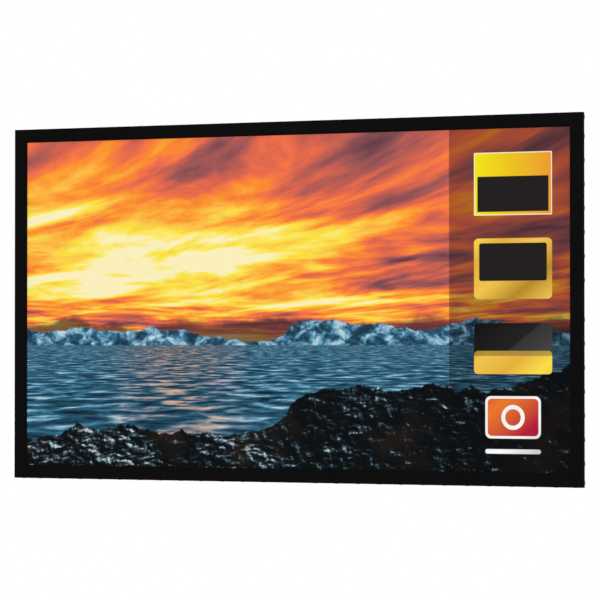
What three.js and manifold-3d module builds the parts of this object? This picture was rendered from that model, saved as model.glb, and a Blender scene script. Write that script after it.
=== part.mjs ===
// A fixed frame projector screen for hanging on a wall.
// Four sides of open aluminium extrusion are mitred at the corners. Each side is two lengths joined in the
// middle. A flat sheet of screen cloth is stretched behind the frame by rods in its hems and by spring clips
// that hook over the back edge of the frame. One upright brace keeps the long sides from bowing inwards.
// Millimetres, +X to the viewer's right, +Z up, the picture faces -Y and the wall is at +Y.
import * as THREE from "three";
import { mergeVertices } from "three/addons/utils/BufferGeometryUtils.js";
import Module from "manifold-3d";

const wasm = await Module();
wasm.setup();

// The picture that the frame leaves open, and the frame around it
const pictureWidth = 2657;
const pictureHeight = 1494;
const borderWidth = 60;
const frameDepth = 25;
const clearance = 0.3;

// The extrusion: a velvet-covered face with a bevelled nose, a channel for the joining plates and a deep rim
const extrusionWall = 1.6;
const bevelWidth = 8;
const faceDepth = 10;
const rimPocket = 9.4;
const rimFlange = 9;
const outerLip = 9.4;
const innerLip = 8;
const noseWall = 2;
const edgeChamfer = 1.2;

// The screen cloth and the rods in its hems
const clothThickness = 0.5;
const hemRadius = 4;
const hemInset = 18;
const rodRadius = 2.2;
const rodOverhang = 3;

// The spring clips, hooked over the back edge of the rim and round the hem
const clipWidth = 17;
const clipThickness = 1.5;
const clipHook = 8;
const clipTipGap = 1.6;
const clipPitch = 103.2;
const firstClipLong = 127;
const firstClipShort = 85;
const cornerClipLong = 40;
const cornerClipShort = 20;

// The plates in the channel and their grub screws
const plateThickness = 3;
const plateSideGap = 0.5;
const spliceLength = 160;
const spliceFirstScrew = 25;
const spliceScrewFromEnd = 20;
const cornerArm = 125;
const cornerScrewsFromEnd = [50, 20];
const screwRadius = 3;
const socketRadius = 1.8;
const socketDepth = 3;

// The upright brace and its end hooks
const braceWidth = 30;
const braceDepth = 10;
const braceWall = 1.2;
const braceStandOff = 3.8;
const braceEndInset = 26;
const braceTongue = 25;
const braceHookWidth = 24;
const braceHookThickness = 1.5;
const braceHookLeg = 1.2;

// The wall brackets
const wallGap = 5;
const wallBracketWidth = 70;
const wallBracketHeight = 49;
const wallBracketThickness = 2;
const wallBracketLip = 6;
const wallBracketBay = 6;
const wallSlotLength = 14;
const wallSlotWidth = 6;
const wallSlotSpacing = 40;
const wallSlotDrop = 27;

// What follows from the sizes above. Distances inwards from the outer edge are called in, distances back from
// the front face are called back.
const frameWidth = pictureWidth + 2 * borderWidth;
const frameHeight = pictureHeight + 2 * borderWidth;
const wallBack = frameDepth + wallGap;
const mitreBack = (clearance / 2) * Math.SQRT2;
const webIn = extrusionWall + rimPocket;
const channelOuter = webIn + extrusionWall;
const channelInner = borderWidth - bevelWidth - noseWall;
const channelMiddle = (channelOuter + channelInner) / 2;
const lipFront = faceDepth - extrusionWall;
const clothFront = faceDepth + clearance;
const clothBack = clothFront + clothThickness;
const hemBack = clothFront + hemRadius;
const hemBore = rodRadius + clearance;
const clipLegIn = hemInset + hemRadius + clearance;
const clipLegEnd = clipLegIn + clipThickness;
const longHemStart = clipLegEnd + 4 * clearance;
const shortHemStart = hemInset - hemRadius;
const plateBack = lipFront - clearance;
const plateFront = plateBack - plateThickness;
const roundSides = 12;

// Materials, with the colours of the photographed screen
const paint = (color, roughness, metalness) => new THREE.MeshStandardMaterial({ color, roughness, metalness });
const velvet = () => paint(0x111111, 1, 0);
const zincSteel = () => paint(0xb4b8bb, 0.38, 1);
const blackSteel = () => paint(0x1d1e20, 0.45, 1);
const glassFibre = () => paint(0xd9d6c6, 0.5, 0);
const anodised = () => paint(0x26282a, 0.42, 1);
const moulded = () => paint(0x17181a, 0.6, 0);

// A geometry as a solid to join or cut, and back again
function solid(geometry) {
  const bare = geometry.clone();
  bare.deleteAttribute("normal");
  bare.deleteAttribute("uv");
  const merged = mergeVertices(bare, 1e-4);
  return new wasm.Manifold(
    new wasm.Mesh({
      numProp: 3,
      vertProperties: merged.attributes.position.array,
      triVerts: new Uint32Array(merged.index.array),
    }),
  );
}

function surface(made) {
  const mesh = made.getMesh();
  const geometry = new THREE.BufferGeometry();
  geometry.setAttribute("position", new THREE.BufferAttribute(mesh.vertProperties, 3));
  geometry.setIndex(new THREE.BufferAttribute(mesh.triVerts, 1));
  geometry.computeVertexNormals();
  return geometry;
}

function joined(geometries) {
  return wasm.Manifold.union(geometries.map(solid));
}

// Outlines
function outline(points) {
  return new THREE.Shape(points.map(([a, b]) => new THREE.Vector2(a, b)));
}

function roundPoints(a, b, radius, sides) {
  return Array.from({ length: sides }, (_, i) => {
    const angle = ((i + 0.5) / sides) * 2 * Math.PI;
    return [a + radius * Math.cos(angle), b + radius * Math.sin(angle)];
  });
}

function slotPoints(a, b, length, width) {
  const reach = (length - width) / 2;
  const ends = roundPoints(0, 0, width / 2, roundSides);
  return ends.map(([x, y]) => [a + x + Math.sign(x) * reach, b + y]);
}

// Solids of a side, which has its length along X, its outer edge at Z 0 and its inside towards -Z.
// A section lies in (in, back) and runs along the side; a plate lies in (along, in) and is thick in back.
function section(shape, from, to) {
  const geometry = new THREE.ExtrudeGeometry(shape, { depth: to - from, bevelEnabled: false });
  return geometry.rotateY(Math.PI / 2).translate(from, 0, 0);
}

function plate(shape, front, back) {
  const geometry = new THREE.ExtrudeGeometry(shape, { depth: back - front, bevelEnabled: false });
  return geometry.rotateX(-Math.PI / 2).translate(0, front, 0);
}

function memberShape() {
  const noseIn = borderWidth - bevelWidth;
  const shape = outline([
    [0, edgeChamfer],
    [edgeChamfer, 0],
    [noseIn, 0],
    [borderWidth, bevelWidth],
    [borderWidth, faceDepth],
    [channelInner - innerLip, faceDepth],
    [channelInner - innerLip, lipFront],
    [channelInner, lipFront],
    [channelInner, extrusionWall],
    [channelOuter, extrusionWall],
    [channelOuter, lipFront],
    [webIn + outerLip + extrusionWall, lipFront],
    [webIn + outerLip + extrusionWall, faceDepth],
    [webIn, faceDepth],
    [webIn, extrusionWall],
    [extrusionWall, extrusionWall],
    [extrusionWall, frameDepth - extrusionWall],
    [rimFlange, frameDepth - extrusionWall],
    [rimFlange, frameDepth],
    [edgeChamfer, frameDepth],
    [0, frameDepth - edgeChamfer],
  ]);
  // The hollow of the nose is a triangle: its long side lies a wall's thickness behind the bevel.
  const hollowIn = channelInner + extrusionWall;
  const behindBevel = noseIn - extrusionWall * Math.SQRT2;
  shape.holes.push(
    outline([
      [hollowIn, hollowIn - behindBevel],
      [behindBevel + lipFront, lipFront],
      [hollowIn, lipFront],
    ]),
  );
  return shape;
}

// A clip's U bites a little into the rim, so that the two join into one solid.
function clipShape() {
  const bite = clearance / 2;
  const bend = clipThickness / 2;
  const back = frameDepth + clipThickness;
  return outline([
    [-clipThickness, frameDepth - clipHook],
    [-clipThickness, back - bend],
    [bend - clipThickness, back],
    [clipLegEnd - bend, back],
    [clipLegEnd, back - bend],
    [clipLegEnd, clothBack + clipTipGap],
    [clipLegIn, clothBack + clipTipGap],
    [clipLegIn, frameDepth - bite],
    [bite, frameDepth - bite],
    [bite, frameDepth - clipHook],
  ]);
}

// Clips stand at an even pitch from the first one, and one more stands near the corner.
function clipPlaces(halfLength, first, fromCorner) {
  const last = halfLength - fromCorner;
  const run = Math.floor((last - first) / clipPitch - 0.5);
  const places = Array.from({ length: run + 1 }, (_, i) => first + i * clipPitch);
  return [...places, last];
}

// One length of a side, mitred at its corner end, with its clips. half is -1 or 1.
function member(half, halfLength, places) {
  const ends = [half * (clearance / 2), half * halfLength].sort((a, b) => a - b);
  const bar = section(memberShape(), ...ends);
  const position = bar.attributes.position;
  for (let i = 0; i < position.count; i++) {
    const atCorner = Math.abs(position.getX(i)) > halfLength / 2;
    if (atCorner) position.setX(i, half * (halfLength - mitreBack + position.getZ(i)));
  }
  const clips = places.map((place) => {
    const middle = half * place;
    return section(clipShape(), middle - clipWidth / 2, middle + clipWidth / 2);
  });
  return surface(joined([bar, ...clips]));
}

// A flat joining plate with a clear hole for each of its grub screws
function joiningPlate(points, screws) {
  const shape = outline(points);
  for (const [along, inwards] of screws) {
    shape.holes.push(outline(roundPoints(along, inwards, screwRadius + clearance, roundSides)));
  }
  return plate(shape, plateFront, plateBack);
}

// A grub screw stands on the channel's floor and ends flush with the back of its plate.
function grubScrew(along, inwards) {
  const front = extrusionWall + clearance;
  const body = plate(outline(roundPoints(along, inwards, screwRadius, roundSides)), front, plateBack);
  const socket = plate(outline(roundPoints(along, inwards, socketRadius, 6)), plateBack - socketDepth, plateBack + 1);
  return surface(solid(body).subtract(solid(socket)));
}

function splicePoints() {
  const outer = channelOuter + plateSideGap;
  const inner = channelInner - plateSideGap;
  const end = spliceLength / 2;
  return [
    [-end, outer],
    [end, outer],
    [end, inner],
    [-end, inner],
  ];
}

// The corner plate is an L in the channels of two sides that meet.
function cornerPoints(halfLength) {
  const outer = channelOuter + plateSideGap;
  const inner = channelInner - plateSideGap;
  return [
    [halfLength - outer, outer],
    [halfLength - outer, cornerArm],
    [halfLength - inner, cornerArm],
    [halfLength - inner, inner],
    [halfLength - cornerArm, inner],
    [halfLength - cornerArm, outer],
  ];
}

// A wall bracket hooks its lip into the rim, in front of the flange, and lies flat on the wall.
function wallBracket(along) {
  const shelfIn = rimFlange + clearance;
  const lipBack = frameDepth - extrusionWall - clearance;
  const plateEnd = shelfIn + wallBracketHeight;
  const shape = outline([
    [shelfIn - wallBracketLip, lipBack - wallBracketThickness],
    [shelfIn + wallBracketThickness, lipBack - wallBracketThickness],
    [shelfIn + wallBracketThickness, wallBack - wallBracketThickness],
    [plateEnd, wallBack - wallBracketThickness],
    [plateEnd, wallBack],
    [shelfIn, wallBack],
    [shelfIn, lipBack],
    [shelfIn - wallBracketLip, lipBack],
  ]);
  const body = solid(section(shape, along - wallBracketWidth / 2, along + wallBracketWidth / 2));
  const slots = [-1, 1].map((way) => {
    const middle = along + (way * wallSlotSpacing) / 2;
    const points = slotPoints(middle, shelfIn + wallSlotDrop, wallSlotLength, wallSlotWidth);
    return solid(plate(outline(points), wallBack - 2 * wallBracketThickness, wallBack + 1));
  });
  return surface(body.subtract(wasm.Manifold.union(slots)));
}

// The brace's end hook: a tongue in the tube, a strip behind the hem and a leg over the outer edge
function braceHook() {
  const stripFront = frameDepth + clearance;
  const stripBack = stripFront + braceHookThickness;
  const tubeBack = frameDepth + braceStandOff;
  const tongueFront = tubeBack - braceDepth + braceWall + clearance;
  const tongueBack = tubeBack - braceWall - clearance;
  const tongueIn = braceEndInset + clearance;
  const shape = outline([
    [-braceHookLeg - clearance, frameDepth - clipHook],
    [-clearance, frameDepth - clipHook],
    [-clearance, stripFront],
    [tongueIn, stripFront],
    [tongueIn, tongueFront],
    [braceEndInset + braceTongue, tongueFront],
    [braceEndInset + braceTongue, tongueBack],
    [tongueIn, tongueBack],
    [tongueIn, stripBack],
    [-braceHookLeg - clearance, stripBack],
  ]);
  return section(shape, -braceHookWidth / 2, braceHookWidth / 2);
}

function rectangle(left, right, low, high) {
  return [
    [left, low],
    [right, low],
    [right, high],
    [left, high],
  ];
}

// The whole object, with its own group for each side turned about Y
const screen = new THREE.Group();
const wallHalf = wallBack / 2;

function add(group, name, geometry, material) {
  const mesh = new THREE.Mesh(geometry, material);
  mesh.name = name;
  group.add(mesh);
}

const sides = [
  { name: "top", turn: 0, halves: ["left", "right"], corner: "top_right", long: true },
  { name: "right", turn: 1, halves: ["upper", "lower"], corner: "bottom_right", long: false },
  { name: "bottom", turn: 2, halves: ["right", "left"], corner: "bottom_left", long: true },
  { name: "left", turn: 3, halves: ["lower", "upper"], corner: "top_left", long: false },
];

for (const side of sides) {
  const halfLength = (side.long ? frameWidth : frameHeight) / 2;
  const outward = (side.long ? frameHeight : frameWidth) / 2;
  const turn = (side.turn * Math.PI) / 2;
  const group = new THREE.Group();
  group.rotation.y = turn;
  group.position.set(outward * Math.sin(turn), -wallHalf, outward * Math.cos(turn));
  screen.add(group);
  side.group = group;
  side.halfLength = halfLength;

  const first = side.long ? firstClipLong : firstClipShort;
  const fromCorner = side.long ? cornerClipLong : cornerClipShort;
  const places = clipPlaces(halfLength, first, fromCorner);
  side.halves.forEach((half, i) => {
    add(group, `frame_${side.name}_${half}`, member(i ? 1 : -1, halfLength, places), velvet());
  });

  const spliceHoles = [spliceFirstScrew, spliceLength / 2 - spliceScrewFromEnd].flatMap((along) => [
    [-along, channelMiddle],
    [along, channelMiddle],
  ]);
  add(group, `splice_plate_${side.name}`, joiningPlate(splicePoints(), spliceHoles), zincSteel());
  spliceHoles.forEach(([along, inwards], i) => {
    add(group, `splice_screw_${side.name}_${i + 1}`, grubScrew(along, inwards), blackSteel());
  });

  const cornerHoles = cornerScrewsFromEnd.flatMap((fromEnd) => [
    [halfLength - cornerArm + fromEnd, channelMiddle],
    [halfLength - channelMiddle, cornerArm - fromEnd],
  ]);
  add(group, `corner_plate_${side.corner}`, joiningPlate(cornerPoints(halfLength), cornerHoles), zincSteel());
  cornerHoles.forEach(([along, inwards], i) => {
    add(group, `corner_screw_${side.corner}_${i + 1}`, grubScrew(along, inwards), blackSteel());
  });

  // The rods of the short sides stand out of their hems. Those of the long sides end beside the corner clips.
  const hemEnd = halfLength - (side.long ? longHemStart : shortHemStart);
  side.hemEnd = hemEnd;
  const rodEnd = hemEnd + (side.long ? 2 * clearance : rodOverhang);
  const rod = outline(roundPoints(hemInset, hemBack, rodRadius, roundSides));
  add(group, `tension_rod_${side.name}`, section(rod, -rodEnd, rodEnd), glassFibre());

  if (side.long) {
    add(group, `brace_hook_${side.name}`, braceHook(), moulded());
    const bay = firstClipLong + (wallBracketBay + 0.5) * clipPitch;
    side.halves.forEach((half, i) => {
      add(group, `wall_bracket_${side.name}_${half}`, wallBracket(i ? bay : -bay), zincSteel());
    });
  }
}

// The brace is a rectangular tube from the top side to the bottom one.
const braceReach = frameHeight / 2 - braceEndInset;
const braceBack = frameDepth + braceStandOff - wallHalf;
const braceHalf = braceWidth / 2;
const tube = outline(rectangle(-braceHalf, braceHalf, braceBack - braceDepth, braceBack));
tube.holes.push(
  outline(
    rectangle(
      braceWall - braceHalf,
      braceHalf - braceWall,
      braceBack - braceDepth + braceWall,
      braceBack - braceWall,
    ),
  ),
);
const braceTube = new THREE.ExtrudeGeometry(tube, { depth: 2 * braceReach, bevelEnabled: false });
add(screen, "centre_brace", braceTube.translate(0, 0, -braceReach), anodised());

// The picture on the cloth is a plain evening landscape in fields of colour. Each field reaches from its own
// ridge down to the next one: height of the ridge, size of its waves, their number across and their shift.
const cloudsAndHills = [
  { color: 0x7a2c22, height: 0.5 },
  { color: 0xc9472a, height: 0.37, wave: 0.03, count: 2.5, shift: 0.4 },
  { color: 0xe9772e, height: 0.2, wave: 0.025, count: 3.5, shift: 1.9 },
  { color: 0xf7b63a, height: 0.05, wave: 0.02, count: 3, shift: 2.6 },
  { color: 0x6d97ad, height: -0.1, wave: 0.035, count: 4.5, shift: 0.9 },
  { color: 0x2f5266, height: -0.2, wave: 0.04, count: 3.5, shift: 3.4 },
  { color: 0x14191d, height: -0.33, wave: 0.045, count: 2.5, shift: 5.1 },
];
const ridgeSteps = 10;

function ridgeHeight(field, x) {
  const wave = field.wave ?? 0;
  const angle = ((field.count ?? 0) * 2 * Math.PI * x) / pictureWidth + (field.shift ?? 0);
  return pictureHeight * (field.height + wave * Math.sin(angle));
}

function ridgePoints(field) {
  const steps = field && field.wave ? ridgeSteps : 1;
  return Array.from({ length: steps + 1 }, (_, i) => {
    const x = (i / steps - 0.5) * pictureWidth;
    return [x, field ? ridgeHeight(field, x) : -pictureHeight / 2];
  });
}

function clothPart(points) {
  return plate(outline(points.map(([x, z]) => [x, -z])), clothFront - wallHalf, clothBack - wallHalf);
}

function cloth() {
  const reachX = frameWidth / 2 - hemInset;
  const reachZ = frameHeight / 2 - hemInset;
  const halfX = pictureWidth / 2;
  const halfZ = pictureHeight / 2;
  const edge = outline(rectangle(-reachX, reachX, -reachZ, reachZ));
  edge.holes.push(outline(rectangle(-halfX, halfX, -halfZ, halfZ)));
  const parts = [plate(edge, clothFront - wallHalf, clothBack - wallHalf)];
  cloudsAndHills.forEach((field, i) => {
    const below = ridgePoints(cloudsAndHills[i + 1]).reverse();
    parts.push(clothPart([...ridgePoints(field), ...below]));
  });
  for (const side of sides) {
    const hem = outline(roundPoints(hemInset, hemBack, hemRadius, roundSides));
    hem.holes.push(outline(roundPoints(hemInset, hemBack, hemBore, roundSides)));
    side.group.updateMatrixWorld();
    parts.push(section(hem, -side.hemEnd, side.hemEnd).applyMatrix4(side.group.matrixWorld));
  }
  return paintedCloth(surface(joined(parts)));
}

// Each triangle on the front of the picture takes the colour of the field that it lies in.
function paintedCloth(geometry) {
  const flat = geometry.toNonIndexed();
  const position = flat.attributes.position;
  const colors = new Float32Array(position.count * 3);
  const front = clothFront - wallHalf;
  const white = new THREE.Color(0xf2f2ef);
  for (let i = 0; i < position.count; i += 3) {
    const corners = [0, 1, 2].map((k) => new THREE.Vector3().fromBufferAttribute(position, i + k));
    const middle = corners[0].clone().add(corners[1]).add(corners[2]).divideScalar(3);
    const inPicture =
      corners.every((corner) => Math.abs(corner.y - front) < clearance / 10) &&
      Math.abs(middle.x) < pictureWidth / 2 &&
      Math.abs(middle.z) < pictureHeight / 2;
    const fields = cloudsAndHills.filter((field) => middle.z < ridgeHeight(field, middle.x));
    const color = inPicture && fields.length ? new THREE.Color(fields.at(-1).color) : white;
    for (let k = 0; k < 3; k++) color.toArray(colors, (i + k) * 3);
  }
  flat.setAttribute("color", new THREE.BufferAttribute(colors, 3));
  return flat;
}

const clothPaint = new THREE.MeshStandardMaterial({ color: 0xffffff, roughness: 0.9, vertexColors: true });
add(screen, "screen_cloth", cloth(), clothPaint);

export default screen;
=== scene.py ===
# %% [markdown]
# # A fixed frame projector screen
#
# A fixed frame screen is a flat sheet of cloth, stretched like a painter's canvas over a frame of aluminium that
# hangs on a wall. Its hard parts come from a CAD model: the frame lengths, the plates and screws that join them,
# the rods in the hems, the brace and the wall brackets. All of that could be modelled again here, but the CAD
# shapes are exact, so this script only gives them their finish and adds what CAD stands in for: the velvet round
# the frame, the spring clips and the cloth with its picture.

# %% Load the frame
import math

import bmesh
import bpy
from mathutils import Matrix, Vector


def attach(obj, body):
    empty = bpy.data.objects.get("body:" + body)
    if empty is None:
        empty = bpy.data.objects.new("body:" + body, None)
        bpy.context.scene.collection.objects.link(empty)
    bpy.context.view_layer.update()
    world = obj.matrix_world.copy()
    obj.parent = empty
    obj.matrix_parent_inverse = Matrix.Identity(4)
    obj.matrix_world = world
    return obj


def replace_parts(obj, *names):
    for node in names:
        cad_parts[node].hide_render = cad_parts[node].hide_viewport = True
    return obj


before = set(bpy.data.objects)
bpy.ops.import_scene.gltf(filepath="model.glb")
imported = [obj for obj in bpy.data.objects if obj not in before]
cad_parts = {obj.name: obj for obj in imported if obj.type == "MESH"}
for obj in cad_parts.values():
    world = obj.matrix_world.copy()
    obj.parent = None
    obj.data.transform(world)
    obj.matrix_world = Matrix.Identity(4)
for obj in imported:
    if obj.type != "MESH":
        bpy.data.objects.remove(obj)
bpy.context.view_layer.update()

# %% [markdown]
# ## Sizes
#
# A maker of frames measures from the outer edge inwards and from the front face back, so these sizes do too. They
# are in millimetres and are the CAD model's own. Each side of the frame could be drawn where it hangs, but it is
# simpler to draw every one lying along X and to turn it to its place about Y, in quarter turns. A side is made of
# two lengths, which meet in its middle.

# %% Sizes
MM = 0.001
frame_width, frame_height = 2777, 1614
frame_depth, whole_depth = 25, 30
border, bevel_starts, inner_edge_front, inner_edge_back = 60, 52, 8, 10
rim_flange = 9
sides = {
    "top": {"turns": 0, "length": frame_width, "across": frame_height, "halves": ("left", "right")},
    "right": {"turns": 1, "length": frame_height, "across": frame_width, "halves": ("upper", "lower")},
    "bottom": {"turns": 2, "length": frame_width, "across": frame_height, "halves": ("right", "left")},
    "left": {"turns": 3, "length": frame_height, "across": frame_width, "halves": ("lower", "upper")},
}
frame_lengths = [
    (side, way, f"frame_{side}_{half}")
    for side, facts in sides.items()
    for way, half in zip((-1, 1), facts["halves"])
]
print("picture, mm:", frame_width - 2 * border, "by", frame_height - 2 * border)

# %% [markdown]
# ## The camera
#
# The screen is seen a little from its right, by a camera that stands far away and has a long lens, so that its
# left and right edges are almost the same height. A shifted lens could give such a view too, but a camera that is
# turned to the screen keeps its other views centred. Its place, turn and lens were fitted to the four outer
# corners of the frame in the photograph. The Standard view shows colours as they are written.

# %% Camera
bpy.context.scene.view_settings.view_transform = "Standard"
camera_data = bpy.data.cameras.new("camera")
camera_data.lens, camera_data.sensor_width = 192.4, 36
camera = bpy.data.objects.new("camera", camera_data)
camera.location = (5.8689, -13.0829, -0.2274)
camera.rotation_euler = (math.radians(90.941), 0, math.radians(23.962))
bpy.context.scene.collection.objects.link(camera)
bpy.context.scene.camera = camera
print("camera distance, m:", round(camera.location.length, 2))

# %% [markdown]
# ## Colours
#
# A paint chart gives colours as sRGB hex values, but Blender reckons in linear light, where a middle grey is only
# about a fifth as bright as white. Each colour could be picked in the editor, which shows both, but one function
# turns the first into the second, so that all colours below can be written as on the chart.


# %% Colours
def colour(text):
    parts = [int(text[i : i + 2], 16) / 255 for i in (1, 3, 5)]
    return (*(c / 12.92 if c <= 0.04045 else ((c + 0.055) / 1.055) ** 2.4 for c in parts), 1)


print("middle grey in linear light:", round(colour("#808080")[0], 3))

# %% [markdown]
# ## Nodes
#
# A material is a small network: each node takes values in and hands one on. It could be wired by hand in the
# editor, but one helper can add any kind of node and feed it. A list feeds its inputs in their order, and a
# dictionary feeds them by name. Stops are the colours along a colour ramp: its two ends come first, because a new
# ramp has them already, and the rest is added between them.


# %% Nodes
def add_node(tree, kind, inputs=(), stops=(), **settings):
    node = tree.nodes.new("ShaderNode" + kind)
    for name, value in settings.items():
        setattr(node, name, value)
    sockets = [socket for socket in node.inputs if socket.enabled]
    for key, value in inputs.items() if isinstance(inputs, dict) else enumerate(inputs):
        socket = sockets[key] if isinstance(key, int) else node.inputs[key]
        if isinstance(value, bpy.types.Node):
            value = next(output for output in value.outputs if output.enabled)
        if isinstance(value, bpy.types.NodeSocket):
            tree.links.new(value, socket)
        else:
            socket.default_value = value
    for i, (position, text) in enumerate(stops):
        ramp = node.color_ramp.elements
        stop = ramp[i] if i < 2 else ramp.new(position)
        stop.position, stop.color = position, colour(text)
    return node


print("helper:", add_node.__name__)

# %% [markdown]
# ## The light of the room
#
# A product is photographed in a white room. Its walls could be modelled, but a plain world does the same with less
# to render: it is pure white where the camera or a reflection looks at it, and a softer white where it only lights
# the object, so that dark cloth stays dark.

# %% World
world = bpy.data.worlds.new("white_room")
world.use_nodes = True
bpy.context.scene.world = world
room = world.node_tree
room_as_light = 0.6
rays = add_node(room, "LightPath").outputs
looked_at = add_node(room, "Math", [rays["Is Camera Ray"], rays["Is Glossy Ray"]], operation="MAXIMUM")
looked_at = add_node(room, "Math", [looked_at, rays["Is Transmission Ray"]], operation="MAXIMUM")
strength = add_node(room, "MapRange", [looked_at, 0, 1, room_as_light, 1])
background = room.nodes["Background"]
background.inputs["Color"].default_value = (1, 1, 1, 1)
room.links.new(strength.outputs[0], background.inputs["Strength"])
print("strength of the room as a light:", room_as_light)

# %% [markdown]
# ## Lamps
#
# The room alone would light the screen from all sides and leave its edges flat. Three large, soft lamps add
# direction: one on each side in front and one behind. Small lamps would do this with hard shadows, but a studio
# uses wide ones. Their power is set so that a matt colour that faces the camera renders about as it is written.

# %% Lamps
lamp_width = 5
lamps = {"front_left": ((-4.5, -8, 4), 225), "front_right": ((6, -8, 4), 225), "behind": ((1, 6, 5), 260)}
for name, (place, watts) in lamps.items():
    lamp_data = bpy.data.lights.new(name, "AREA")
    lamp_data.energy, lamp_data.size = watts, lamp_width
    lamp = bpy.data.objects.new(name, lamp_data)
    lamp.location = place
    lamp.rotation_euler = (-Vector(place)).to_track_quat("-Z", "Y").to_euler()
    bpy.context.scene.collection.objects.link(lamp)
print("lamps:", ", ".join(lamps))

# %% [markdown]
# ## Floor paint
#
# The floor of such a room is concrete, rolled with pale paint. A flat colour would do at a distance, but rolled
# paint is matt and slightly uneven, so its tone follows a noise. The Scale of a noise is the number of its patches
# in a metre, so it is worked out from the width of one. Nearly all values of a noise lie between 0.3 and 0.7, so
# the two tones of the paint are put there, as they are in all finishes below.

# %% Floor paint
floor_paint = bpy.data.materials.new("pale_rolled_floor_paint")
floor_paint.use_nodes = True
tree = floor_paint.node_tree
shader = tree.nodes["Principled BSDF"]
patch_width, noise_range = 300, (0.3, 0.7)
spot = add_node(tree, "TexCoord").outputs["Object"]
mottle = add_node(tree, "TexNoise", {"Vector": spot, "Scale": 1 / (patch_width * MM), "Detail": 4})
tone = add_node(tree, "ValToRGB", [mottle], stops=zip(noise_range, ("#f2f2f0", "#f6f6f4")))
rough = add_node(tree, "MapRange", [mottle, *noise_range, 0.94, 0.86])
tree.links.new(tone.outputs[0], shader.inputs["Base Color"])
tree.links.new(rough.outputs[0], shader.inputs["Roughness"])
print("floor finish:", floor_paint.name, "in patches of", patch_width, "mm")

# %% [markdown]
# ## Floor
#
# The screen hangs clear of the floor, which is a disc below it. A square would do too, but a disc shows no corner
# from any side. It is part of the stage, not of the object.

# %% Floor
floor_radius, floor_level, floor_corners = 4.2, -1.7, 96
bm = bmesh.new()
bmesh.ops.create_circle(bm, cap_ends=True, segments=floor_corners, radius=floor_radius)
bmesh.ops.translate(bm, vec=(0, 0, floor_level), verts=bm.verts)
floor_mesh = bpy.data.meshes.new("floor")
bm.to_mesh(floor_mesh)
bm.free()
floor_mesh.materials.append(floor_paint)
floor = bpy.data.objects.new("floor", floor_mesh)
bpy.context.scene.collection.objects.link(floor)
print("floor level, m:", floor_level)

# %% [markdown]
# ## Finishes with a grain
#
# A sheet or bar from the mill is never one flat colour: rolling, drawing or moulding leaves a fine grain in it, and
# its gloss changes with that grain. Colour, gloss and relief could each have a pattern of their own, but on the
# real surface they come from the same marks. So one noise, stretched along the way the part was drawn, drives all
# three.

# %% A finish with a grain
gloss_change, relief_depth = 0.06, 0.1


def grained_finish(name, tones, roughness, metallic, grain, stretch=(1, 1, 1), relief=0.02, gloss=0.5):
    """grain is the width of the pattern in mm, and stretch makes it longer along X, Y or Z."""
    material = bpy.data.materials.new(name)
    material.use_nodes = True
    tree = material.node_tree
    shader = tree.nodes["Principled BSDF"]
    per_metre = tuple(1 / (grain * MM * longer) for longer in stretch)
    spot = add_node(tree, "TexCoord").outputs["Object"]
    spot = add_node(tree, "VectorMath", [spot, per_metre], operation="MULTIPLY")
    noise = add_node(tree, "TexNoise", {"Vector": spot, "Scale": 1, "Detail": 4, "Roughness": 0.6})
    tone = add_node(tree, "ValToRGB", [noise], stops=zip(noise_range, tones))
    dull, bright = roughness + gloss_change, roughness - gloss_change
    rough = add_node(tree, "MapRange", [noise, *noise_range, dull, bright])
    bump = add_node(tree, "Bump", {"Height": noise, "Strength": relief, "Distance": relief_depth * MM})
    tree.links.new(tone.outputs[0], shader.inputs["Base Color"])
    tree.links.new(rough.outputs[0], shader.inputs["Roughness"])
    tree.links.new(bump.outputs[0], shader.inputs["Normal"])
    shader.inputs["Metallic"].default_value = metallic
    shader.inputs["Specular IOR Level"].default_value = gloss
    return material


print("relief of a finish, mm:", relief_depth)

# %% [markdown]
# ## Bars and sheets
#
# The frame and the brace are extruded aluminium, etched matt and anodised black. The joining plates and the wall
# brackets are pressed from steel sheet and zinc plated. A dark and a pale grey could stand for them, but both are
# metals, so their colour is the colour of their reflection, and only a metallic shader gives that. The die lines
# of an extrusion are about 0.1 mm wide and are drawn at 0.5 mm, so that they show.

# %% Bars and sheets
# Extruded, then anodised black: die lines run along the bar, so that it shines in long streaks.
anodised = {"tones": ("#26272a", "#34363a"), "roughness": 0.42, "metallic": 1, "grain": 0.5, "relief": 0.1}
anodised_along_x = grained_finish("extruded_black_anodised_aluminium_x", stretch=(60, 1, 1), **anodised)
anodised_along_z = grained_finish("extruded_black_anodised_aluminium_z", stretch=(1, 1, 60), **anodised)
# Rolled sheet steel, zinc plated: bright, with soft clouds where the crystals lie, about 14 mm across.
zinc = {"tones": ("#9fa4a8", "#c4c8cb"), "roughness": 0.34, "metallic": 1, "grain": 14, "relief": 0.05}
zinc_plated = grained_finish("rolled_zinc_plated_steel", **zinc)
print("finishes:", anodised_along_x.name, anodised_along_z.name, zinc_plated.name)

# %% [markdown]
# ## Screws, rods and hooks
#
# The grub screws are steel, blackened in hot oxide. The rods in the hems are glass fibre, because they have to
# bend when the cloth is threaded. The hooks at the ends of the brace are moulded nylon. They are small, so one
# plain finish each would do, but the grain costs nothing more and holds up from near by. Real glass fibres are
# finer than a hair and are drawn 0.4 mm wide.

# %% Screws, rods and hooks
# Turned steel, blackened in hot oxide: dark and slightly satin, with an even grain.
oxide = {"tones": ("#1a1b1d", "#27282b"), "roughness": 0.45, "metallic": 0.9, "grain": 0.6}
black_oxide = grained_finish("turned_black_oxide_steel", **oxide)
# Pultruded glass fibre: pale resin with long fibres that show as streaks.
fibre = {"tones": ("#cfcbb8", "#e3dfcf"), "roughness": 0.5, "metallic": 0, "grain": 0.4, "relief": 0.1}
glass_fibre_along_x = grained_finish("pultruded_glass_fibre_x", stretch=(80, 1, 1), **fibre)
glass_fibre_along_z = grained_finish("pultruded_glass_fibre_z", stretch=(1, 1, 80), **fibre)
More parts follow.
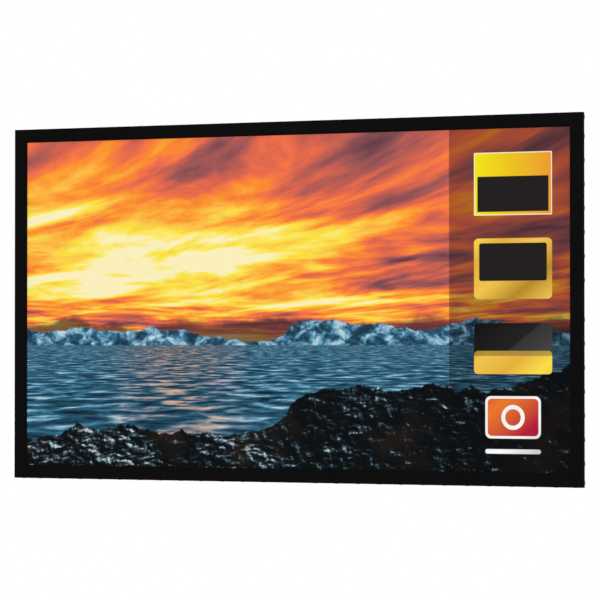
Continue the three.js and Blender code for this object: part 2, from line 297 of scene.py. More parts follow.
# Injection moulded nylon: the mould's spark-eroded face leaves a fine matt grain of 0.3 mm.
nylon = {"tones": ("#151618", "#1e1f22"), "roughness": 0.58, "metallic": 0, "grain": 0.3, "relief": 0.3}
moulded_nylon = grained_finish("moulded_black_nylon", **nylon)
print("finishes:", black_oxide.name, glass_fibre_along_x.name, moulded_nylon.name)

# %% [markdown]
# ## Parts that keep their CAD shape
#
# The frame lengths, the rods and the grub screws lie mostly hidden behind velvet or in a hem. They could be made
# again with rounder edges, but nobody would see it, so they only get their finish, with its grain along the length
# of the part.

# %% Frame lengths, rods and screws
finish_only = {
    "frame_": (anodised_along_x, anodised_along_z),
    "tension_rod_": (glass_fibre_along_x, glass_fibre_along_z),
    "splice_screw_": (black_oxide, black_oxide),
    "corner_screw_": (black_oxide, black_oxide),
}
for start, (level, upright) in finish_only.items():
    for name in [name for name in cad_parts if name.startswith(start)]:
        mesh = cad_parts[name].data
        mesh.materials.clear()
        mesh.materials.append(level if name[len(start) :].startswith(("top", "bottom")) else upright)
print("parts with their CAD shape:", sum(name.startswith(tuple(finish_only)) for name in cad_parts))

# %% [markdown]
# ## New pieces
#
# Every new piece is worked as a bmesh, Blender's editable mesh, in metres and at its place. This helper turns it
# into an object with its materials. A piece could also be made at the origin and moved, but a pattern that is
# fixed in space would then slide over it. No part of this screen moves, so each piece rides on the root.


# %% New pieces
def make_piece(name, bm, slot, *materials):
    mesh = bpy.data.meshes.new(name)
    bm.to_mesh(mesh)
    bm.free()
    for material in materials:
        mesh.materials.append(material)
    made = bpy.data.objects.new(name, mesh)
    bpy.context.scene.collection.objects.link(made)
    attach(made, "root")
    return made


print("helper:", make_piece.__name__)

# %% [markdown]
# ## Parts with softened edges
#
# Plates and tubes are tumbled after they are cut, which rounds their edges a little, and the thin bright line on
# such an edge is what makes it look like metal. The parts could be remade, but a copy of the CAD shape is just as
# good. Its loose triangles are merged where they lie within a hundredth of a millimetre, then joined to whole faces
# where they meet at less than 1 degree. Edges sharper than 40 degrees get a small bevel, and the copy then stands
# for the CAD part.

# %% Soften the edges
close, flat_below, sharp_above = 0.01, math.radians(1), math.radians(40)


def soften(name, rounding, slot, material):
    bm = bmesh.new()
    bm.from_mesh(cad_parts[name].data)
    bmesh.ops.transform(bm, matrix=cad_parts[name].matrix_world, verts=bm.verts)
    bmesh.ops.remove_doubles(bm, verts=bm.verts, dist=close * MM)
    bmesh.ops.recalc_face_normals(bm, faces=bm.faces)
    bmesh.ops.dissolve_limit(bm, angle_limit=flat_below, verts=bm.verts, edges=bm.edges)
    sharp = [edge for edge in bm.edges if edge.calc_face_angle(0) > sharp_above]
    width = rounding * MM
    bmesh.ops.bevel(bm, geom=sharp, offset=width, segments=2, profile=0.5, affect="EDGES", material=-1)
    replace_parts(make_piece(name + "_softened", bm, slot, material), name)


print("edges count as sharp above, degrees:", round(math.degrees(sharp_above)))

# %% [markdown]
# ## Which parts are softened
#
# A cut steel plate keeps a finer edge than a drawn tube, and a moulded hook has its radius from the mould, so each
# kind gets its own rounding in millimetres. Each part could be listed, but their names start alike, so a table by
# those starts is enough.

# %% Softened parts
softened = {
    "wall_bracket_": (0.3, "wall_bracket", zinc_plated),
    "splice_plate_": (0.3, "zinc_plate", zinc_plated),
    "corner_plate_": (0.3, "zinc_plate", zinc_plated),
    "brace_hook_": (0.25, "brace_end", moulded_nylon),
    "centre_brace": (0.4, "brace_tube", anodised_along_z),
}
for start, (rounding, slot, material) in softened.items():
    for name in [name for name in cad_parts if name.startswith(start)]:
        soften(name, rounding, slot, material)
print("softened parts:", sum(name.startswith(tuple(softened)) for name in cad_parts))

# %% [markdown]
# ## Velvet
#
# Black velvet swallows stray light from the projector. It is woven cotton or polyester with a short, upright
# pile. The pile could be grown as hair, but on a frame this large each tuft is far smaller than a pixel, so two
# noises do: a fine one for the pile and a broad one for the way that it was brushed. Real pile stands about 0.3 mm
# apart and is drawn at 1 mm, because anything finer would not show.

# %% Black velvet
# Woven with a cut pile: no gloss at all, only a faint sheen, so that it looks evenly black from every side.
velvet = bpy.data.materials.new("black_woven_velvet")
velvet.use_nodes = True
tree = velvet.node_tree
shader = tree.nodes["Principled BSDF"]
pile_apart, pile_height, brushed_width = 1, 0.2, 90
spot = add_node(tree, "TexCoord").outputs["Object"]
pile_look = {"Scale": 1 / (pile_apart * MM), "Detail": 3, "Roughness": 0.7}
pile = add_node(tree, "TexNoise", {"Vector": spot, **pile_look})
brushing = add_node(tree, "TexNoise", {"Vector": spot, "Scale": 1 / (brushed_width * MM), "Detail": 3})
nap = add_node(tree, "Mix", [0.5, pile, brushing])
tone = add_node(tree, "ValToRGB", [nap], stops=[(0.35, "#0e0e0f"), (1, "#151516")])
rough = add_node(tree, "MapRange", [pile, *noise_range, 1, 0.92])
bump = add_node(tree, "Bump", {"Height": pile, "Strength": 0.4, "Distance": pile_height * MM})
tree.links.new(tone.outputs[0], shader.inputs["Base Color"])
tree.links.new(rough.outputs[0], shader.inputs["Roughness"])
tree.links.new(bump.outputs[0], shader.inputs["Normal"])
shader.inputs["Specular IOR Level"].default_value = 0
shader.inputs["Sheen Weight"].default_value = 0.02
shader.inputs["Sheen Roughness"].default_value = 0.4
print("velvet nodes:", len(tree.nodes))

# %% [markdown]
# ## Cloth as a skin
#
# A cloth has two faces and a thin edge. It could be drawn as a solid, but its folds are easier to work on a single
# open skin, which gets its thickness last. The skin's faces are first pointed outwards, to the viewer, and it then
# grows away from them, so that the side that was drawn stays where it is.


# %% Cloth as a skin
def thicken(bm, thickness):
    """Give an open skin its thickness and return the faces of its outside."""
    bmesh.ops.recalc_face_normals(bm, faces=bm.faces)
    if min(bm.faces, key=lambda face: face.calc_center_median().y).normal.y > 0:
        bmesh.ops.reverse_faces(bm, faces=bm.faces)
    outside = set(bm.faces)
    bmesh.ops.solidify(bm, geom=bm.faces[:], thickness=thickness)
    return outside


print("helper:", thicken.__name__)

# %% [markdown]
# ## From the bench to the frame
#
# Strips and clips are drawn as on a bench: along the side, back from its front face and, downwards, inwards from
# its outer edge. This helper lifts the work to the top of the frame, turns it to its side and brings it from
# millimetres to metres. Each side could have its own formula, but a quarter turn is the same for all of them.


# %% From the bench to the frame
def to_side(bm, side):
    lift = Matrix.Translation((0, -whole_depth / 2, sides[side]["across"] / 2))
    turn = Matrix.Rotation(math.radians(90 * sides[side]["turns"]), 4, "Y")
    bmesh.ops.transform(bm, matrix=Matrix.Scale(MM, 4) @ turn @ lift, verts=bm.verts)


print("turns of the sides, degrees:", {side: 90 * facts["turns"] for side, facts in sides.items()})

# %% [markdown]
# ## The line of the velvet
#
# Each frame length is wrapped in one strip, which starts at the picture's edge, covers the bevel, the face and the
# outer side, and is tucked round the back. A wrapper could be simulated, but a cloth that is glued down takes the
# shape of what it lies on, so its section is a line that runs 0.4 mm outside the metal.

# %% Line of the velvet
velvet_proud, velvet_thick, velvet_fold = 0.4, 0.35, 1.1
slant = velvet_proud * (math.sqrt(2) - 1)
velvet_line = [
    (border + velvet_proud, inner_edge_back),
    (border + velvet_proud, inner_edge_front - slant),
    (bevel_starts + slant, -velvet_proud),
    (-velvet_proud, -velvet_proud),
    (-velvet_proud, frame_depth + velvet_proud),
    (rim_flange, frame_depth + velvet_proud),
]

# %% [markdown]
# ## Velvet strips
#
# The line is drawn out along half a side, rounded at the folds and given its thickness. At the corner of the frame
# two strips meet in a mitre, as in a picture frame. The mitre could be cut with a plane, but it is enough to slide
# each point of the outer end back by its distance inwards.

# %% Velvet strips
joint_gap = 0.1
for side, way, frame_length in frame_lengths:
    half_length = sides[side]["length"] / 2
    bm = bmesh.new()
    line = [bm.verts.new((way * joint_gap / 2, back, -inwards)) for inwards, back in velvet_line]
    edges = [bm.edges.new(pair) for pair in zip(line, line[1:])]
    drawn = bmesh.ops.extrude_edge_only(bm, edges=edges)["geom"]
    far_end = [v for v in drawn if isinstance(v, bmesh.types.BMVert)]
    bmesh.ops.translate(bm, vec=(way * half_length, 0, 0), verts=far_end)
    folds = [e for e in bm.edges if len(e.link_faces) == 2]
    bmesh.ops.bevel(bm, geom=folds, offset=velvet_fold, segments=4, profile=0.5, affect="EDGES", material=-1)
    thicken(bm, velvet_thick)
    for vert in bm.verts:
        if abs(vert.co.x) > half_length / 2:
            vert.co.x = way * (half_length - joint_gap + vert.co.z)
    to_side(bm, side)
    strip = make_piece("velvet_" + frame_length, bm, "velvet_frame", velvet)
print("velvet strips:", len(frame_lengths))

# %% [markdown]
# ## Spring steel
#
# The clips are hardened strip steel, blackened before it is bent. They could share the finish of the screws, but
# rolled strip has longer marks and a softer gloss. Real rolling marks are about 0.2 mm wide and are drawn at
# 1.2 mm, so that they show.

# %% Spring steel
# Cold rolled, hardened and blackened: near black and satin, with faint streaks where the oxide is thinner.
spring = {"tones": ("#1c1d1f", "#2f3033"), "roughness": 0.5, "metallic": 0.6, "grain": 1.2, "relief": 0.08}
spring_steel = grained_finish("rolled_blackened_spring_steel", stretch=(6, 1, 6), gloss=0.3, **spring)
print("finish:", spring_steel.name)

# %% [markdown]
# ## A spring clip
#
# A clip is a strip of steel bent to a U. One leg grips the outer side of the frame and the other pulls the hem of
# the cloth outwards. It could be swept along a curve, but its section is easy to draw as one face, which is then
# drawn out to the clip's width. It fits closely over the clip of the CAD model and bows out where the steel is
# sprung.

# %% Section of a clip
clip_width, clip_over, clip_bow = 17.3, 0.15, 0.5
outer_leg = (-1.5 - clip_bow, 0.15 + clip_over)
inner_leg = (22.3 - clip_over, 23.8 + clip_over)
web = (24.85 - clip_over, 26.5 + clip_bow)
outer_leg_end, inner_leg_end = 17 - clip_over, 12.4 - clip_over
clip_section = [
    (outer_leg[0], outer_leg_end),
    (outer_leg[0], web[1]),
    (inner_leg[1], web[1]),
    (inner_leg[1], inner_leg_end),
    (inner_leg[0], inner_leg_end),
    (inner_leg[0], web[0]),
    (outer_leg[1], web[0]),
    (outer_leg[1], outer_leg_end),
]
bm = bmesh.new()
end = bm.faces.new([bm.verts.new((-clip_width / 2, back, -inwards)) for inwards, back in clip_section])
drawn = bmesh.ops.extrude_face_region(bm, geom=[end])["geom"]
far_end = [v for v in drawn if isinstance(v, bmesh.types.BMVert)]
bmesh.ops.translate(bm, vec=(clip_width, 0, 0), verts=far_end)
bmesh.ops.recalc_face_normals(bm, faces=bm.faces)
print("clip, mm:", clip_width, "wide,", round(inner_leg[1] - outer_leg[0], 2), "from leg to leg")

# %% [markdown]
# ## Bends and edges of the clip
#
# A bend in strip steel has a wide radius outside and a narrow one inside. A subdivision surface would round both
# alike, so they are bevelled one after the other. The sheared edges then get a fine bevel too.

# %% Bends and edges of the clip
outer_radius, inner_radius, edge_radius, sheared_above = 1.7, 0.5, 0.25, math.radians(60)
bends = [e for e in bm.edges if e.verts[0].co.x * e.verts[1].co.x < 0]
outer_bends = [e for e in bends if abs(e.verts[0].co.y - web[1]) < close]
inner_bends = [e for e in bends if abs(e.verts[0].co.y - web[0]) < close]
bmesh.ops.bevel(bm, geom=outer_bends, offset=outer_radius, segments=4, profile=0.5, affect="EDGES", material=-1)
bmesh.ops.bevel(bm, geom=inner_bends, offset=inner_radius, segments=2, profile=0.5, affect="EDGES", material=-1)
sheared = [e for e in bm.edges if e.calc_face_angle(0) > sheared_above]
bmesh.ops.bevel(bm, geom=sheared, offset=edge_radius, segments=2, profile=0.5, affect="EDGES", material=-1)
one_clip = bpy.data.meshes.new("one_clip")
bm.to_mesh(one_clip)
bm.free()
print("bends:", len(outer_bends), "outside and", len(inner_bends), "inside; faces:", len(one_clip.polygons))

# %% [markdown]
# ## Rows of clips
#
# The clips stand at an even pitch, so that they pull the cloth evenly. The first one stands clear of the joint in
# the middle of its side, and one more stands close to the corner. An array modifier could repeat them, but it
# can't place that last one, so a loop copies the clip. The clips of one frame length are one piece.

# %% Rows of clips
clip_pitch, clip_rows = 103.2, {}
for length, first, count, from_corner in ((frame_width, 127, 12, 40), (frame_height, 85, 7, 20)):
    clip_rows[length] = [first + i * clip_pitch for i in range(count)] + [length / 2 - from_corner]
for side, way, frame_length in frame_lengths:
    bm = bmesh.new()
    for along in clip_rows[sides[side]["length"]]:
        clip = one_clip.copy()
        clip.transform(Matrix.Translation((way * along, 0, 0)))
        bm.from_mesh(clip)
        bpy.data.meshes.remove(clip)
    to_side(bm, side)
    make_piece("clips_" + frame_length, bm, "spring_clip", spring_steel)
bpy.data.meshes.remove(one_clip)
print("clips:", 4 * sum(len(row) for row in clip_rows.values()))

# %% [markdown]
# ## The picture on the cloth
#
# The screen shows an evening by the sea. A photograph could be put on it as an image, but a picture made of
# patterns needs no file and stays sharp from near by. It is built from back to front, as a painter would: sky, low
# cloud, headlands, water, rocks. Each layer is a colour and a mask, laid over what is there. The patterns read the
# place on the cloth in metres from its middle: x to the right and z up.

# %% Places in the picture
picture = bpy.data.materials.new("embossed_white_vinyl_with_picture")
picture.use_nodes = True
tree = picture.node_tree
spot = add_node(tree, "TexCoord").outputs["Object"]
place = add_node(tree, "SeparateXYZ", [spot]).outputs
x, z = place["X"], place["Z"]
horizon, sun_x, sun_z = -0.194, -0.55, 0.1
above = add_node(tree, "Math", [z, horizon], operation="SUBTRACT")
print("horizon below the middle, mm:", round(-horizon / MM))

# %% [markdown]
# ## Clouds
#
# Clouds lie on a level sheet overhead, so towards the horizon they crowd together. A noise that is only stretched
# would look like marble. Dividing by the height above the horizon gives the true perspective, and the haze that is
# added to that height keeps the furthest clouds from vanishing. The noise is read twice, a little apart: the
# difference is bright on the side towards the sun, as the lit edge of a cloud is.

# %% Clouds
sky_haze = 0.26
crowding = add_node(tree, "Math", [1, add_node(tree, "Math", [above, sky_haze])], operation="DIVIDE")
sheet_x = add_node(tree, "Math", [x, crowding], operation="MULTIPLY")
sheet_x = add_node(tree, "Math", [sheet_x, 0.5], operation="MULTIPLY")
lean = add_node(tree, "Math", [x, 0.5], operation="MULTIPLY")
sheet_y = add_node(tree, "Math", [crowding, 1.7, lean], operation="MULTIPLY_ADD")
sheet_spot = add_node(tree, "CombineXYZ", [sheet_x, sheet_y, 5.4])
sunward = add_node(tree, "VectorMath", [sheet_spot, (-0.03, 0.1, 0)])
cloud_look = {"Scale": 1.55, "Detail": 8, "Roughness": 0.55, "Distortion": 0.35}
cloud = add_node(tree, "TexNoise", {"Vector": sheet_spot, **cloud_look})
cloud_sunward = add_node(tree, "TexNoise", {"Vector": sunward, **cloud_look})
cloud_banks = add_node(tree, "TexNoise", {"Vector": sheet_spot, "Scale": 0.55, "Detail": 2})
lit_edge = add_node(tree, "Math", [cloud, cloud_sunward], operation="SUBTRACT")
print("sky nodes so far:", len(tree.nodes))

# %% [markdown]
# ## Evening light
#
# How bright each part of the sky is depends on the clouds, on their lit edges and on the distance from the sun.
# These could be mixed as colours, but added up as one number they can run through a single ramp of evening
# colours, from plum in the shade through red and orange to pale yellow.

# %% Evening light
from_sun = add_node(tree, "VectorMath", [spot, (sun_x, 0, sun_z)], operation="SUBTRACT")
from_sun = add_node(tree, "VectorMath", [from_sun, (1 / 1.9, 0, 1 / 0.5)], operation="MULTIPLY")
from_sun = add_node(tree, "VectorMath", [from_sun], operation="LENGTH")
smooth = {"interpolation_type": "SMOOTHSTEP"}
glow = add_node(tree, "MapRange", [from_sun, 0, 1.2, 1, 0], **smooth)
light = add_node(tree, "Math", [glow, 0.32, 0.42], operation="MULTIPLY_ADD")
for pattern, weight in ((cloud, 1.9), (cloud_banks, 0.7)):
    change = add_node(tree, "Math", [pattern, 0.5], operation="SUBTRACT")
    light = add_node(tree, "Math", [change, weight, light], operation="MULTIPLY_ADD")
light = add_node(tree, "Math", [lit_edge, light])
evening = [(0, "#54363f"), (1, "#fff4c0"), (0.14, "#7a4a52"), (0.27, "#a85a58")]
evening += [(0.38, "#d9664f"), (0.47, "#f6744a"), (0.56, "#ff8f30"), (0.65, "#ffae3c")]
evening += [(0.74, "#ffcf4e"), (0.83, "#ffe53e"), (0.92, "#ffee80")]
sky = add_node(tree, "ValToRGB", [light], stops=evening)
print("evening colours:", len(evening))

# %% [markdown]
# ## Low cloud
#
# Near the horizon lies a bank of darker cloud with an uneven, soft top. It could be part of the sky's noise, but as
# a layer of its own its height can be set: a mask that is full below the uneven line and fades out above it.

# %% Low cloud
uneven = add_node(tree, "TexNoise", {"Vector": spot, "Scale": 2.2, "Detail": 5, "Roughness": 0.55})
bank_top = add_node(tree, "Math", [uneven, 0.3, -0.05], operation="MULTIPLY_ADD")
bank = add_node(tree, "Math", [bank_top, above], operation="SUBTRACT")
bank_density = 0.85
bank = add_node(tree, "MapRange", [bank, -0.015, 0.03, 0, bank_density], **smooth)
painted = add_node(tree, "Mix", [bank, sky, colour("#4c2c33")], data_type="RGBA")
print("nodes with the low cloud:", len(tree.nodes))

# %% [markdown]
# ## Headlands
#
# In front of the cloud stand low headlands. Their outline could be drawn by hand, but a noise that reads x only
# has one height at each place, as a skyline does. A finer noise, crowded upwards, gives their slopes of pale and
# shaded stone.

# %% Headlands
ridge = add_node(tree, "TexNoise", {"W": x, "Scale": 1.7, "Detail": 6}, noise_dimensions="1D")
ridge_top = add_node(tree, "Math", [ridge, 0.34, -0.1], operation="MULTIPLY_ADD")
land = add_node(tree, "Math", [ridge_top, above], operation="SUBTRACT")
land = add_node(tree, "MapRange", [land, -0.002, 0.004, 0, 1])
slope_spot = add_node(tree, "VectorMath", [spot, (14, 1, 20)], operation="MULTIPLY")
slope_look = {"Scale": 1, "Detail": 8, "Roughness": 0.65, "Distortion": 0.5}
slopes = add_node(tree, "TexNoise", {"Vector": slope_spot, **slope_look})
slope_colours = [(0.4, "#1d3b4a"), (0.66, "#dbe6e8"), (0.48, "#336382"), (0.54, "#69a0bd"), (0.6, "#a8c8d6")]
slopes = add_node(tree, "ValToRGB", [slopes], stops=slope_colours)
painted = add_node(tree, "Mix", [land, painted, slopes], data_type="RGBA")
print("headland colours:", len(slope_colours))

# %% [markdown]
# ## The water
#
# Waves crowd towards the horizon as the clouds do, so they get the same perspective, seen from above, with less
# haze. The wave texture could draw them, but it is too even for open water, and a noise is not.

# %% Water
below = add_node(tree, "Math", [horizon, z], operation="SUBTRACT")
sea_haze = 0.05
crowding = add_node(tree, "Math", [1, add_node(tree, "Math", [below, sea_haze])], operation="DIVIDE")
sea_x = add_node(tree, "Math", [x, crowding], operation="MULTIPLY")
sea_y = add_node(tree, "Math", [crowding, 3.2], operation="MULTIPLY")
sea_spot = add_node(tree, "CombineXYZ", [sea_x, sea_y, 0])
wave_look = {"Scale": 1.6, "Detail": 6, "Roughness": 0.6, "Distortion": 0.4}
waves = add_node(tree, "TexNoise", {"Vector": sea_spot, **wave_look})
sea_colours = [(0.34, "#10222c"), (0.74, "#e6f0f2"), (0.46, "#224c63"), (0.55, "#3a7694"), (0.62, "#83b3c8")]
sea = add_node(tree, "ValToRGB", [waves], stops=sea_colours)
print("sea colours:", len(sea_colours))

# %% [markdown]
# ## The path of light
#
# Below the sun, the crests of the waves take its colour. A stripe of orange would lie on the water like paint, so
# the stripe is only let through where a wave is bright. The finished sea is then laid below the horizon.

# %% Path of light
beside_sun = add_node(tree, "Math", [x, sun_x], operation="SUBTRACT")
beside_sun = add_node(tree, "Math", [beside_sun], operation="ABSOLUTE")
path_reach, path_strength = 0.45, 0.7
sun_path = add_node(tree, "MapRange", [beside_sun, 0, path_reach, path_strength, 0], **smooth)
crests = add_node(tree, "MapRange", [waves, 0.5, 0.64, 0, 1])
sun_path = add_node(tree, "Math", [sun_path, crests], operation="MULTIPLY")
sea = add_node(tree, "Mix", [sun_path, sea, colour("#f7a24a")], data_type="RGBA")
water = add_node(tree, "MapRange", [above, 0.002, -0.002, 0, 1])
painted = add_node(tree, "Mix", [water, painted, sea], data_type="RGBA")
print("nodes with the sea:", len(tree.nodes))

# %% [markdown]
# ## The shore
#
# The shore in front is an outline over x as the headlands are, but it rises to the right. It could be painted in
# one step with its stone, but its mask is kept apart from its colour, so that either can be changed alone.

# %% Shore
shore_slope = 0.1
shore_look = {"Scale": 1.1, "Detail": 7, "Roughness": 0.55}
shore = add_node(tree, "TexNoise", {"W": x, **shore_look}, noise_dimensions="1D")
shore_rise = add_node(tree, "Math", [x, shore_slope, -0.78], operation="MULTIPLY_ADD")
shore_top = add_node(tree, "Math", [shore, 0.6, shore_rise], operation="MULTIPLY_ADD")
rocks = add_node(tree, "Math", [shore_top, z], operation="SUBTRACT")
rocks = add_node(tree, "MapRange", [rocks, -0.003, 0.004, 0, 1])
print("the shore rises by", shore_slope, "m for each metre to the right")

# %% [markdown]
# ## The rocks
#
# Wet rock is dark, with pale glints where its edges face the sky. Those could be scattered as points, but the
# noise, read twice again, puts them on the edges of the stones. A broad noise lays whole stretches in shade,
# another one warms some of the stone, and the right side is darker, because it is nearer.

# %% Rocks
rock_spot = add_node(tree, "VectorMath", [spot, (12, 1, 20)], operation="MULTIPLY")
rock_beside = add_node(tree, "VectorMath", [rock_spot, (0.12, 0, 0.2)])
rock_look = {"Scale": 1, "Detail": 9, "Roughness": 0.68, "Distortion": 0.3}
grain = add_node(tree, "TexNoise", {"Vector": rock_spot, **rock_look})
grain_beside = add_node(tree, "TexNoise", {"Vector": rock_beside, **rock_look})
glints = add_node(tree, "Math", [grain, grain_beside], operation="SUBTRACT")
glints = add_node(tree, "Math", [glints, 1.6, grain], operation="MULTIPLY_ADD")
shade = add_node(tree, "TexNoise", {"Vector": spot, "Scale": 2.1, "Detail": 3})
shade = add_node(tree, "MapRange", [shade, 0.42, 0.6, -0.13, 0.03])
shade = add_node(tree, "Math", [x, -0.025, shade], operation="MULTIPLY_ADD")
glints = add_node(tree, "Math", [glints, shade])
rock_colours = [(0.42, "#0a0e11"), (0.82, "#c9d6da"), (0.54, "#171d20"), (0.63, "#2b3a42"), (0.71, "#587585")]
stone = add_node(tree, "ValToRGB", [glints], stops=rock_colours)
warm = add_node(tree, "TexNoise", {"Vector": spot, "Scale": 3, "Detail": 4})
warm = add_node(tree, "MapRange", [warm, 0.5, 0.65, 0, 0.5])
stone = add_node(tree, "Mix", [warm, stone, colour("#2c2118")], data_type="RGBA")
painted = add_node(tree, "Mix", [rocks, painted, stone], data_type="RGBA")
print("rock colours:", len(rock_colours))

# %% [markdown]
# ## A darker strip
#
# The right part of the picture is dimmed, as under a sheet of dark glass, so that what stands on it is easy to
# see. Its brightness could be turned down, but mixing in a near black keeps the colours behind it soft.

# %% Darker strip
strip_from, dimming = 0.77, 0.56
dimmed = add_node(tree, "MapRange", [x, strip_from - MM, strip_from + MM, 0, dimming])
painted = add_node(tree, "Mix", [dimmed, painted, colour("#08090b")], data_type="RGBA")
print("the strip starts right of the middle, m:", strip_from)

# %% [markdown]
# ## Colours of the plates
#
# Four plain plates in gold, black, silver and red stand on the strip. They lie in the flat of the picture, so
# their shine has to be painted. Sheet metal shines in broad slanting bands. Each band could be a shape of its own,
# but the distance along a slanted line, run to and fro through a colour ramp, gives them all.

# %% Colours of the plates
slanted = add_node(tree, "VectorMath", [spot, (1.9, 0, -2.4)], operation="DOT_PRODUCT")
bands = add_node(tree, "Math", [slanted.outputs["Value"], 1], operation="PINGPONG")
rightwards = add_node(tree, "MapRange", [x, 0.88, 1.25, 0, 1])
yellow_stops = [(0, "#f6ea1c"), (1, "#f29a34"), (0.45, "#f0c81e")]
gold_stops = [(0, "#b98a2a"), (1, "#ffe04a"), (0.35, "#f4c850"), (0.7, "#e8b440")]
black_stops = [(0, "#131314"), (1, "#4a4a4c"), (0.5, "#222223"), (0.52, "#333334")]
silver_stops = [(0, "#a9abaf"), (1, "#f4f4f4"), (0.5, "#ffffff")]
red_stops = [(0, "#6c1240"), (1, "#ef7a2c"), (0.5, "#b8203a")]
yellow = add_node(tree, "ValToRGB", [rightwards], stops=yellow_stops)
gold = add_node(tree, "ValToRGB", [bands], stops=gold_stops)
black = add_node(tree, "ValToRGB", [bands], stops=black_stops)
silver = add_node(tree, "ValToRGB", [bands], stops=silver_stops)
red = add_node(tree, "ValToRGB", [bands], stops=red_stops)
cream, dark = colour("#f6f0cf"), colour("#231f20")
print("nodes with the plate colours:", len(tree.nodes))

# %% [markdown]
# ## Shapes of the plates
#
# A plate is a rectangle with round corners. It could be a small mesh in front of the cloth, but a picture has no
# thickness. The mask measures how far a place is from a smaller, sharp rectangle and is full up to the radius of
# the corner, which rounds it.


# %% Rounded rectangles
def rounded(middle, half_size, radius):
    """1 inside a rounded rectangle of the picture and 0 outside it, with an edge 2 mm wide."""
    away = add_node(tree, "VectorMath", [spot, (middle[0], 0, middle[1])], operation="SUBTRACT")
    away = add_node(tree, "VectorMath", [away], operation="ABSOLUTE")
    straight = (half_size[0] - radius, 1, half_size[1] - radius)
    away = add_node(tree, "VectorMath", [away, straight], operation="SUBTRACT")
    away = add_node(tree, "VectorMath", [away, (0, 0, 0)], operation="MAXIMUM")
    away = add_node(tree, "VectorMath", [away], operation="LENGTH")
    return add_node(tree, "MapRange", [away, radius + MM, radius - MM, 0, 1])


print("helper:", rounded.__name__)

# %% [markdown]
# ## The plates
#
# Every rectangle is laid over the ones before it, so the list below reads from back to front: its colour, its
# middle, half its size and the radius of its corners, all in metres. A ring is a round plate with a smaller one on
# it.

# %% Plates
plates_x = 1.0665
plates = [
    (cream, (plates_x, 0.5065), (0.180, 0.137), 0.003),
    (yellow, (plates_x, 0.5065), (0.1755, 0.1325), 0.002),
    (dark, (plates_x, 0.4620), (0.164, 0.077), 0.001),
    (gold, (plates_x, 0.1375), (0.180, 0.132), 0.020),
    (dark, (plates_x, 0.1665), (0.156, 0.082), 0.010),
    (black, (plates_x, -0.2095), (0.180, 0.111), 0.018),
    (gold, (plates_x, -0.2700), (0.180, 0.0505), 0.018),
    (black, (plates_x, -0.2230), (0.180, 0.0180), 0),
    (silver, (plates_x, -0.5080), (0.128, 0.092), 0.026),
    (red, (plates_x, -0.5080), (0.117, 0.081), 0.019),
    (silver, (plates_x, -0.5080), (0.054, 0.054), 0.054),
    (red, (plates_x, -0.5080), (0.036, 0.036), 0.036),
    (silver, (plates_x, -0.6560), (0.128, 0.010), 0.010),
]
for tint, middle, half_size, radius in plates:
    painted = add_node(tree, "Mix", [rounded(middle, half_size, radius), painted, tint], data_type="RGBA")
print("picture nodes:", len(tree.nodes))

# %% [markdown]
# ## The surface of the cloth
#
# Screen cloth is soft vinyl, coated on a woven backing and embossed with a fine grain. A smooth coat would mirror
# the projector as a hot spot, and the grain makes it dead matt. It could be modelled, but it is far too fine: the
# real one is about 0.3 mm and is drawn at 1 mm, so that it shows. The back is the same vinyl in black, which lets
# no light through.

# %% Cloth finishes
# Embossed white vinyl: dead matt, so that the picture keeps its colours from every side.
shader = tree.nodes["Principled BSDF"]
emboss_apart = 1
emboss = add_node(tree, "TexNoise", {"Vector": spot, "Scale": 1 / (emboss_apart * MM), "Detail": 2})
rough = add_node(tree, "MapRange", [emboss, *noise_range, 1, 0.9])
bump = add_node(tree, "Bump", {"Height": emboss, "Strength": 0.08, "Distance": relief_depth * MM})
tree.links.new(painted.outputs[2], shader.inputs["Base Color"])
tree.links.new(rough.outputs[0], shader.inputs["Roughness"])
tree.links.new(bump.outputs[0], shader.inputs["Normal"])
shader.inputs["Specular IOR Level"].default_value = 0.05
vinyl = {"roughness": 0.85, "metallic": 0, "grain": emboss_apart, "gloss": 0.1}
white_vinyl = grained_finish("embossed_white_vinyl", ("#ececea", "#f4f4f2"), relief=0.2, **vinyl)
# Black vinyl backing: calendered smooth, with only the weave below it to see, so that it is dark and even.
black_vinyl = grained_finish("calendered_black_vinyl", ("#141415", "#1c1c1e"), relief=0.3, **vinyl)
print("cloth finishes:", picture.name, white_vinyl.name, black_vinyl.name)

# %% [markdown]
# ## The flat of the cloth
#
# The cloth is stretched flat, so a cloth simulation would only give back the plane that it starts from. It is a
# grid, as wide as the hems of its long edges. A narrow row of faces is added left and right, where the long hems
# are cut away to make room for the short ones.

# %% Flat of the cloth
cloth_front, cloth_thick = 10.3, 0.5
hem_in, hem_cut_away = 18, 25
half_flat_x, half_flat_z = frame_width / 2 - hem_in, frame_height / 2 - hem_in
long_hem = frame_width / 2 - hem_cut_away
bm = bmesh.new()
bmesh.ops.create_grid(bm, x_segments=32, y_segments=18, size=1)
bmesh.ops.rotate(bm, matrix=Matrix.Rotation(math.radians(90), 3, "X"), verts=bm.verts)
bmesh.ops.scale(bm, vec=(long_hem, 1, half_flat_z), verts=bm.verts)
bmesh.ops.translate(bm, vec=(0, cloth_front - whole_depth / 2, 0), verts=bm.verts)
for way in (-1, 1):
    ends = [e for e in bm.edges if all(abs(v.co.x - way * long_hem) < close for v in e.verts)]
    drawn = bmesh.ops.extrude_edge_only(bm, edges=ends)["geom"]
    verts = [v for v in drawn if isinstance(v, bmesh.types.BMVert)]
    bmesh.ops.translate(bm, vec=(way * (half_flat_x - long_hem), 0, 0), verts=verts)
flat_faces = set(bm.faces)
print("flat of the cloth, mm:", 2 * half_flat_x, "by", 2 * half_flat_z)

# %% [markdown]
# ## A hem
#
# At each edge the cloth goes round a rod and is welded down on its own back. The hem could be a tube laid along
# the edge, but it is the same cloth, so it is made from the edge itself: spun about the rod's middle for most of a
# turn, then drawn on twice, down to the cloth and along it.

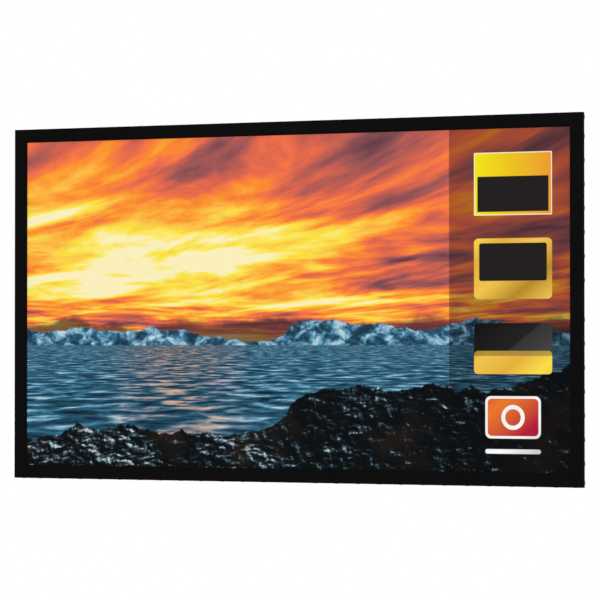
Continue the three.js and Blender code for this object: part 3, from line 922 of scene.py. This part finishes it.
# %% Hem
hem_radius, hem_turn, hem_weld, hem_tail = 4, 300, 24.5, 36


def turn_hem(bm, edges, outwards, tail_back):
    """Work along the edges whose outward direction is given, and end tail_back mm behind the frame's front."""
    rod = edges[0].verts[0].co + Vector((0, hem_radius, 0))
    axis = Vector((0, 1, 0)).cross(outwards)
    angle = math.radians(hem_turn)
    spun = bmesh.ops.spin(bm, geom=edges, cent=rod, axis=axis, angle=angle, steps=20, use_merge=False)
    last = [e for e in spun["geom_last"] if isinstance(e, bmesh.types.BMEdge)]
    for inwards in (hem_weld, hem_tail):
        drawn = bmesh.ops.extrude_edge_only(bm, edges=last)["geom"]
        last = [e for e in drawn if isinstance(e, bmesh.types.BMEdge)]
        for vert in {vert for edge in last for vert in edge.verts}:
            vert.co += outwards * (rod.dot(outwards) + hem_in - inwards - vert.co.dot(outwards))
            vert.co.y = tail_back - whole_depth / 2


# %% [markdown]
# ## Four hems
#
# The open edges of the grid are the ones with a single face. They could be picked by number, but that changes with
# the grid, and their place doesn't. At the corners the tails of the short edges lie on those of the long ones, as
# they do when the long hems are welded first, so they end a little further back.

# %% Four hems
long_tail_back, short_tail_back = 11.4, 11.95
open_edges = [e for e in bm.edges if len(e.link_faces) == 1]
for way in (-1, 1):
    level = [e for e in open_edges if all(abs(v.co.z - way * half_flat_z) < close for v in e.verts)]
    level = [e for e in level if all(abs(v.co.x) < long_hem + close for v in e.verts)]
    upright = [e for e in open_edges if all(abs(v.co.x - way * half_flat_x) < close for v in e.verts)]
    turn_hem(bm, level, Vector((0, 0, way)), long_tail_back)
    turn_hem(bm, upright, Vector((way, 0, 0)), short_tail_back)
print("faces of the skin with its hems:", len(bm.faces))

# %% [markdown]
# ## The finished cloth
#
# Now the skin gets its thickness, and three finishes. Its flat front shows the picture, the outside of the hems is
# plain white vinyl, and everything that was the back of the skin is black. It could be three objects, but one
# cloth with three materials has no gaps between them.

# %% Finished cloth
for face in bm.faces:
    face.material_index = 0 if face in flat_faces else 1
    face.smooth = face not in flat_faces
outside = thicken(bm, cloth_thick)
for face in bm.faces:
    if face not in outside:
        face.material_index = 2
bmesh.ops.scale(bm, vec=(MM, MM, MM), verts=bm.verts)
cloth = make_piece("screen_cloth_sheet", bm, "screen_cloth", picture, white_vinyl, black_vinyl)
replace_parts(cloth, "screen_cloth")
